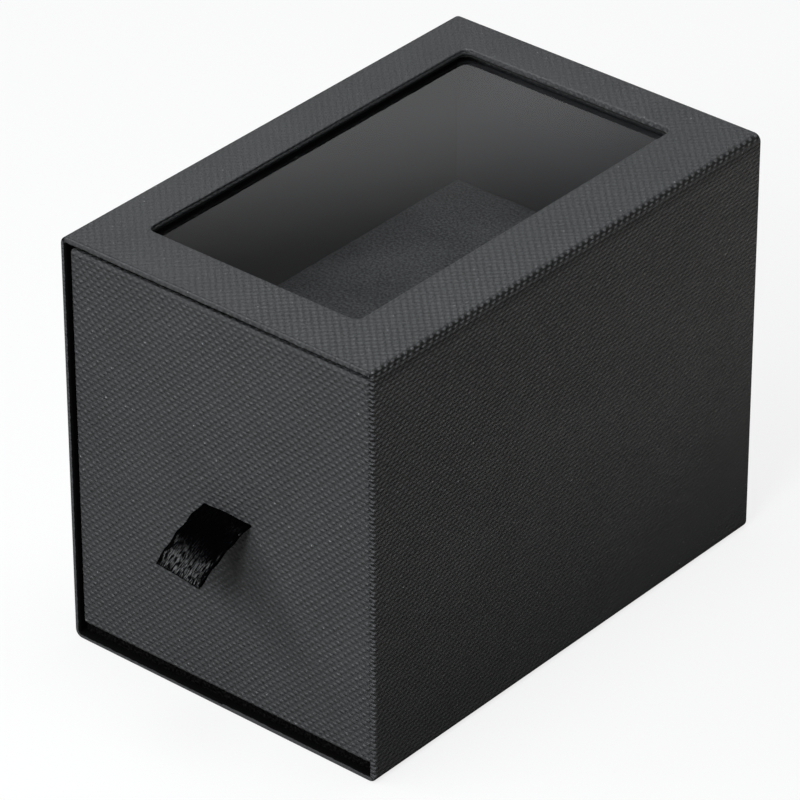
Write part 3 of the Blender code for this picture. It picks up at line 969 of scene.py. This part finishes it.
# %% Film
def film_finish():
    finish = Finish("window_film", Roughness=0.04)
    where = finish.in_box()
    warp = finish.noise(where, 30, 2)
    specks = finish.cells(where, 330)
    rare = finish.noise(where, 330, 0).between(0.56, 0.70)
    dust = (1 - specks.between(0.03, 0.09)) * rare
    slant = {"Vector": where, "Rotation": (0, 0, 0.6), "Scale": (160, 3500, 1)}
    hairs = finish.noise(finish.node("Mapping", {}, slant), 1, 1).between(0.735, 0.80)
    marks = (dust * 0.18).most(hairs * 0.08)
    haze = 0.012
    mirror = finish.node("Fresnel", {}, {"IOR": 1.50})
    finish.set("Base Color", (0.92, 0.93, 0.95))
    finish.set("Metallic", 1 - marks.between(0.02, 0.3))
    finish.set("Roughness", 0.05 + marks * 0.8)
    finish.bump(warp, 0.02 * MM)
    upper_side = 1 - finish.node("NewGeometry", {}, {}, 6)
    share = (mirror + marks * 0.35 + haze) * upper_side
    clear = finish.node("BsdfTransparent", {}, {"Color": (0.97, 0.98, 0.985)})
    finish.show(finish.mixed(share, clear, finish.shader.outputs[0]))
    return finish.material


def dress(material, *names):
    """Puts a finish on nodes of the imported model."""
    for name in names:
        mesh = nodes[name].data
        mesh.materials.clear()
        mesh.materials.append(material)


dress(film_finish(), "window_film")
dress(base_sheet_paper, "sleeve_base_paper")
dress(back_sheet_paper, "sleeve_back_paper")
print("film and flat sheets dressed")

# %% [markdown]
# ## Boards, linings and tapes
#
# Most of these are hidden until the drawer comes out, but each is a real material. Grey board
# is pressed waste paper with light and dark fibres. The linings are black card with a soft
# tooth. Stay tape is brown kraft paper with long fibres, and the film's tape is a dark glue in
# smears on a thin carrier.

# %% Finishes of the hidden pieces
def grey_board():
    finish = Finish("grey_board", Roughness=0.92, Specular_IOR_Level=0.2)
    where = finish.in_box()
    fibres = finish.noise(finish.stretched(where, (1, 0.35, 1)), 2200, 4, 0.7)
    flecks = finish.noise(where, 900, 2).between(0.66, 0.74)
    base = finish.blend(fibres, (0.20, 0.19, 0.175), (0.42, 0.41, 0.385))
    finish.set("Base Color", finish.blend(flecks, base, (0.10, 0.095, 0.09)))
    finish.bump(fibres, 0.06 * MM)
    return finish.material


def black_card():
    finish = Finish("black_card", Roughness=0.78, Specular_IOR_Level=0.3)
    where = finish.in_box()
    tooth = finish.noise(where, 3000, 3, 0.65)
    cloud = finish.noise(where, 90, 2)
    shade = tooth * 0.8 + (cloud - 0.5) * 0.5
    finish.set("Base Color", finish.blend(shade, (0.003, 0.003, 0.0032), (0.012, 0.0118, 0.0125)))
    finish.set("Roughness", 0.70 + tooth * 0.2)
    finish.bump(tooth, 0.04 * MM)
    return finish.material


def shade_black_velvet():
    """Black flocked paper under and in front of the drawer's base, made darker and duller still as
    painted shade for the recess under the drawer's front.
    """
    finish = Finish("shade_black_velvet", Roughness=1.0, Specular_IOR_Level=0.0)
    where = finish.in_box()
    pile = finish.noise(where, 1600, 3, 0.7)
    tips = pile.between(0.4, 0.8)
    finish.set("Base Color", finish.blend(tips, (0.0012, 0.0011, 0.0011), (0.016, 0.015, 0.015)))
    finish.bump(pile, 0.2 * MM)
    return finish.material


def kraft_tape():
    finish = Finish("kraft_tape", Roughness=0.75, Specular_IOR_Level=0.3)
    where = finish.in_box()
    fibres = finish.noise(finish.stretched(where, (1, 0.2, 0.2)), 2600, 3, 0.7)
    finish.set("Base Color", finish.blend(fibres, (0.36, 0.25, 0.14), (0.66, 0.50, 0.33)))
    finish.bump(fibres, 0.03 * MM)
    return finish.material


def glue_tape():
    finish = Finish("glue_tape", Roughness=0.45)
    where = finish.in_box()
    smears = finish.noise(finish.stretched(where, (1, 0.3, 1)), 500, 3, 0.6)
    finish.set("Base Color", finish.blend(smears, (0.010, 0.010, 0.009), (0.030, 0.030, 0.027)))
    finish.set("Roughness", 0.35 + smears * 0.3)
    finish.bump(smears, 0.02 * MM)
    return finish.material


board_names = [name for name in nodes if name.endswith("_board")]
tape_names = [name for name in nodes if "_tape_" in name]
card_names = ["window_lining", "drawer_wall_lining", "drawer_floor_lining", "ribbon_patch"]
dress(grey_board(), *board_names)
dress(kraft_tape(), *tape_names)
dress(black_card(), *card_names)
dress(shade_black_velvet(), "drawer_base_paper")
dress(glue_tape(), "window_tape")
print("boards:", len(board_names), "tapes:", len(tape_names), "black sheets:", len(card_names))

# %% [markdown]
# ## Floor, flags and light
#
# The photograph is a product picture on white. Soft light from in front and above falls on the
# drawer's face and the top, and a small lamp from the front right grazes the side wall. A patch of
# floor beside that wall glows warm and lights it, a painted glow in place of light bounced from a
# white table. The white comes from what the camera sees of floor and world, not from more light on
# the box.
#
# A black box would mirror all that white, and the photograph's ribbon and film show that it didn't:
# the studio round the box was dark. Photographers set up black flags for that. So a dark tent
# and a dark table sheet stand here too, seen by reflections alone, and one card, bright below and
# dim above, makes the glow in the film.

# %% Floor and world
def light_path(tree):
    """1 where the ray comes from the camera, a mirror or clear film."""
    path = tree.nodes.new("ShaderNodeLightPath")
    seen = path.outputs["Is Camera Ray"]
    for kind in ("Is Glossy Ray", "Is Transmission Ray"):
        either = tree.nodes.new("ShaderNodeMath")
        either.operation = "MAXIMUM"
        tree.links.new(seen, either.inputs[0])
        tree.links.new(path.outputs[kind], either.inputs[1])
        seen = either.outputs[0]
    return seen


def floor_finish():
    """White to the eye. To the box it is a dim floor with a warm, soft-edged glowing patch: a
    painted glow that lights the side wall.
    """
    pale = {"Roughness": 0.9, "Base_Color": (0.32, 0.31, 0.30), "Emission_Strength": 6.6}
    finish = Finish("pale_floor", **pale)
    x, y, _ = finish.parts(finish.in_box())
    # The patch's emission is a painted glow, no lamp: it stands in for light bounced from the
    # floor.
    patch = x.between(0.10, 0.35) * (1 - x.between(0.8, 1.2))
    patch = patch * y.between(-0.20, 0.50) * (1 - y.between(1.0, 1.4))
    finish.set("Emission Color", finish.blend(patch, (0, 0, 0), (1.0, 0.94, 0.86)))
    white = finish.mixed(0.80, finish.diffuse((0.75, 0.75, 0.75)), finish.glow(1.0))
    finish.show(finish.mixed(light_path(finish.tree), finish.shader.outputs[0], white))
    return finish.material


bm = bmesh.new()
bmesh.ops.create_grid(bm, x_segments=1, y_segments=1, size=6)
floor = placed("floor", bm, floor_finish())

world = bpy.data.worlds.new("studio")
world.use_nodes = True
scene.world = world
tree = world.node_tree
dim_sky = tree.nodes["Background"]
white_sky = tree.nodes.new("ShaderNodeBackground")
dim_sky.inputs["Color"].default_value = (1.0, 0.97, 0.93, 1)
dim_sky.inputs["Strength"].default_value = 0.12
white_sky.inputs["Color"].default_value = (1, 1, 1, 1)
white_sky.inputs["Strength"].default_value = 1.0
choice = tree.nodes.new("ShaderNodeMixShader")
tree.links.new(light_path(tree), choice.inputs[0])
tree.links.new(dim_sky.outputs[0], choice.inputs[1])
tree.links.new(white_sky.outputs[0], choice.inputs[2])
tree.links.new(choice.outputs[0], tree.nodes["World Output"].inputs["Surface"])
print("floor and world ready")

# %% Flags that only reflections see
def glow_finish(name, strength):
    """A plain glow, whose strength may change over the flag."""
    finish = Finish(name)
    finish.show(finish.glow(strength(finish) if callable(strength) else strength))
    return finish.material


def card_glow(finish):
    """Bright below, fading over 6 cm along a line that sinks a little to the right."""
    x, y, height = finish.parts(finish.in_box())
    sideways = x * math.cos(card_turn) + y * math.sin(card_turn)
    fade = (height + sideways * 0.20).between(0.495, 0.558)
    return (1 - fade) * 0.735 + 0.16


def flag(name, bm, strength):
    """A glowing or nearly dark sheet that only glossy surfaces see."""
    made = placed(name, bm, glow_finish(name, strength))
    for kind in ("visible_camera", "visible_diffuse", "visible_transmission", "visible_shadow"):
        setattr(made, kind, False)


card_turn = math.radians(40)
card_distance = 0.75
bm = bmesh.new()
bmesh.ops.create_grid(bm, x_segments=1, y_segments=1, size=1)
bmesh.ops.scale(bm, vec=(0.45, 0.16, 1), verts=bm.verts)
upright = Matrix.Translation((0, card_distance, 0.57)) @ Matrix.Rotation(math.pi / 2, 4, "X")
bmesh.ops.transform(bm, matrix=Matrix.Rotation(card_turn, 4, "Z") @ upright, verts=bm.verts)
flag("mirror_card", bm, card_glow)

bm = bmesh.new()
bmesh.ops.create_uvsphere(bm, u_segments=32, v_segments=16, radius=2.4)
flag("dark_tent", bm, 0.035)

bm = bmesh.new()
bmesh.ops.create_circle(bm, cap_ends=True, segments=48, radius=2.3)
bmesh.ops.translate(bm, vec=(0, 0, 0.3 * MM), verts=bm.verts)
flag("dark_table_sheet", bm, 0.10)
print("flags stand round the box")

# %% Lamps
box_middle = (0, 0, 0.06)
cool = (0.95, 0.98, 1.0)


def softbox(name, place, aim, size, power):
    data = bpy.data.lights.new(name, "AREA")
    data.shape = "RECTANGLE"
    data.size, data.size_y = size
    data.energy = power
    data.color = cool
    lamp = bpy.data.objects.new(name, data)
    scene.collection.objects.link(lamp)
    toward = (Vector(aim) - Vector(place)).to_track_quat("-Z", "Y")
    lamp.matrix_world = Matrix.Translation(place) @ toward.to_matrix().to_4x4()


# The left lamp wakes the ribbon's sheen, and the top one shines through the film on the foam.
softbox("key_light", (-0.25, -0.95, 0.85), box_middle, (1.0, 0.5), 7.3)
softbox("side_light", (0.30, -1.0, 0.85), box_middle, (0.3, 0.3), 8.0)
softbox("left_light", (-0.78, -0.55, 1.05), box_middle, (0.5, 0.32), 4.5)
softbox("top_light", (0.05, 0.06, 1.15), (0, 0, 0.10), (0.5, 0.5), 6.3)
print("four lamps")
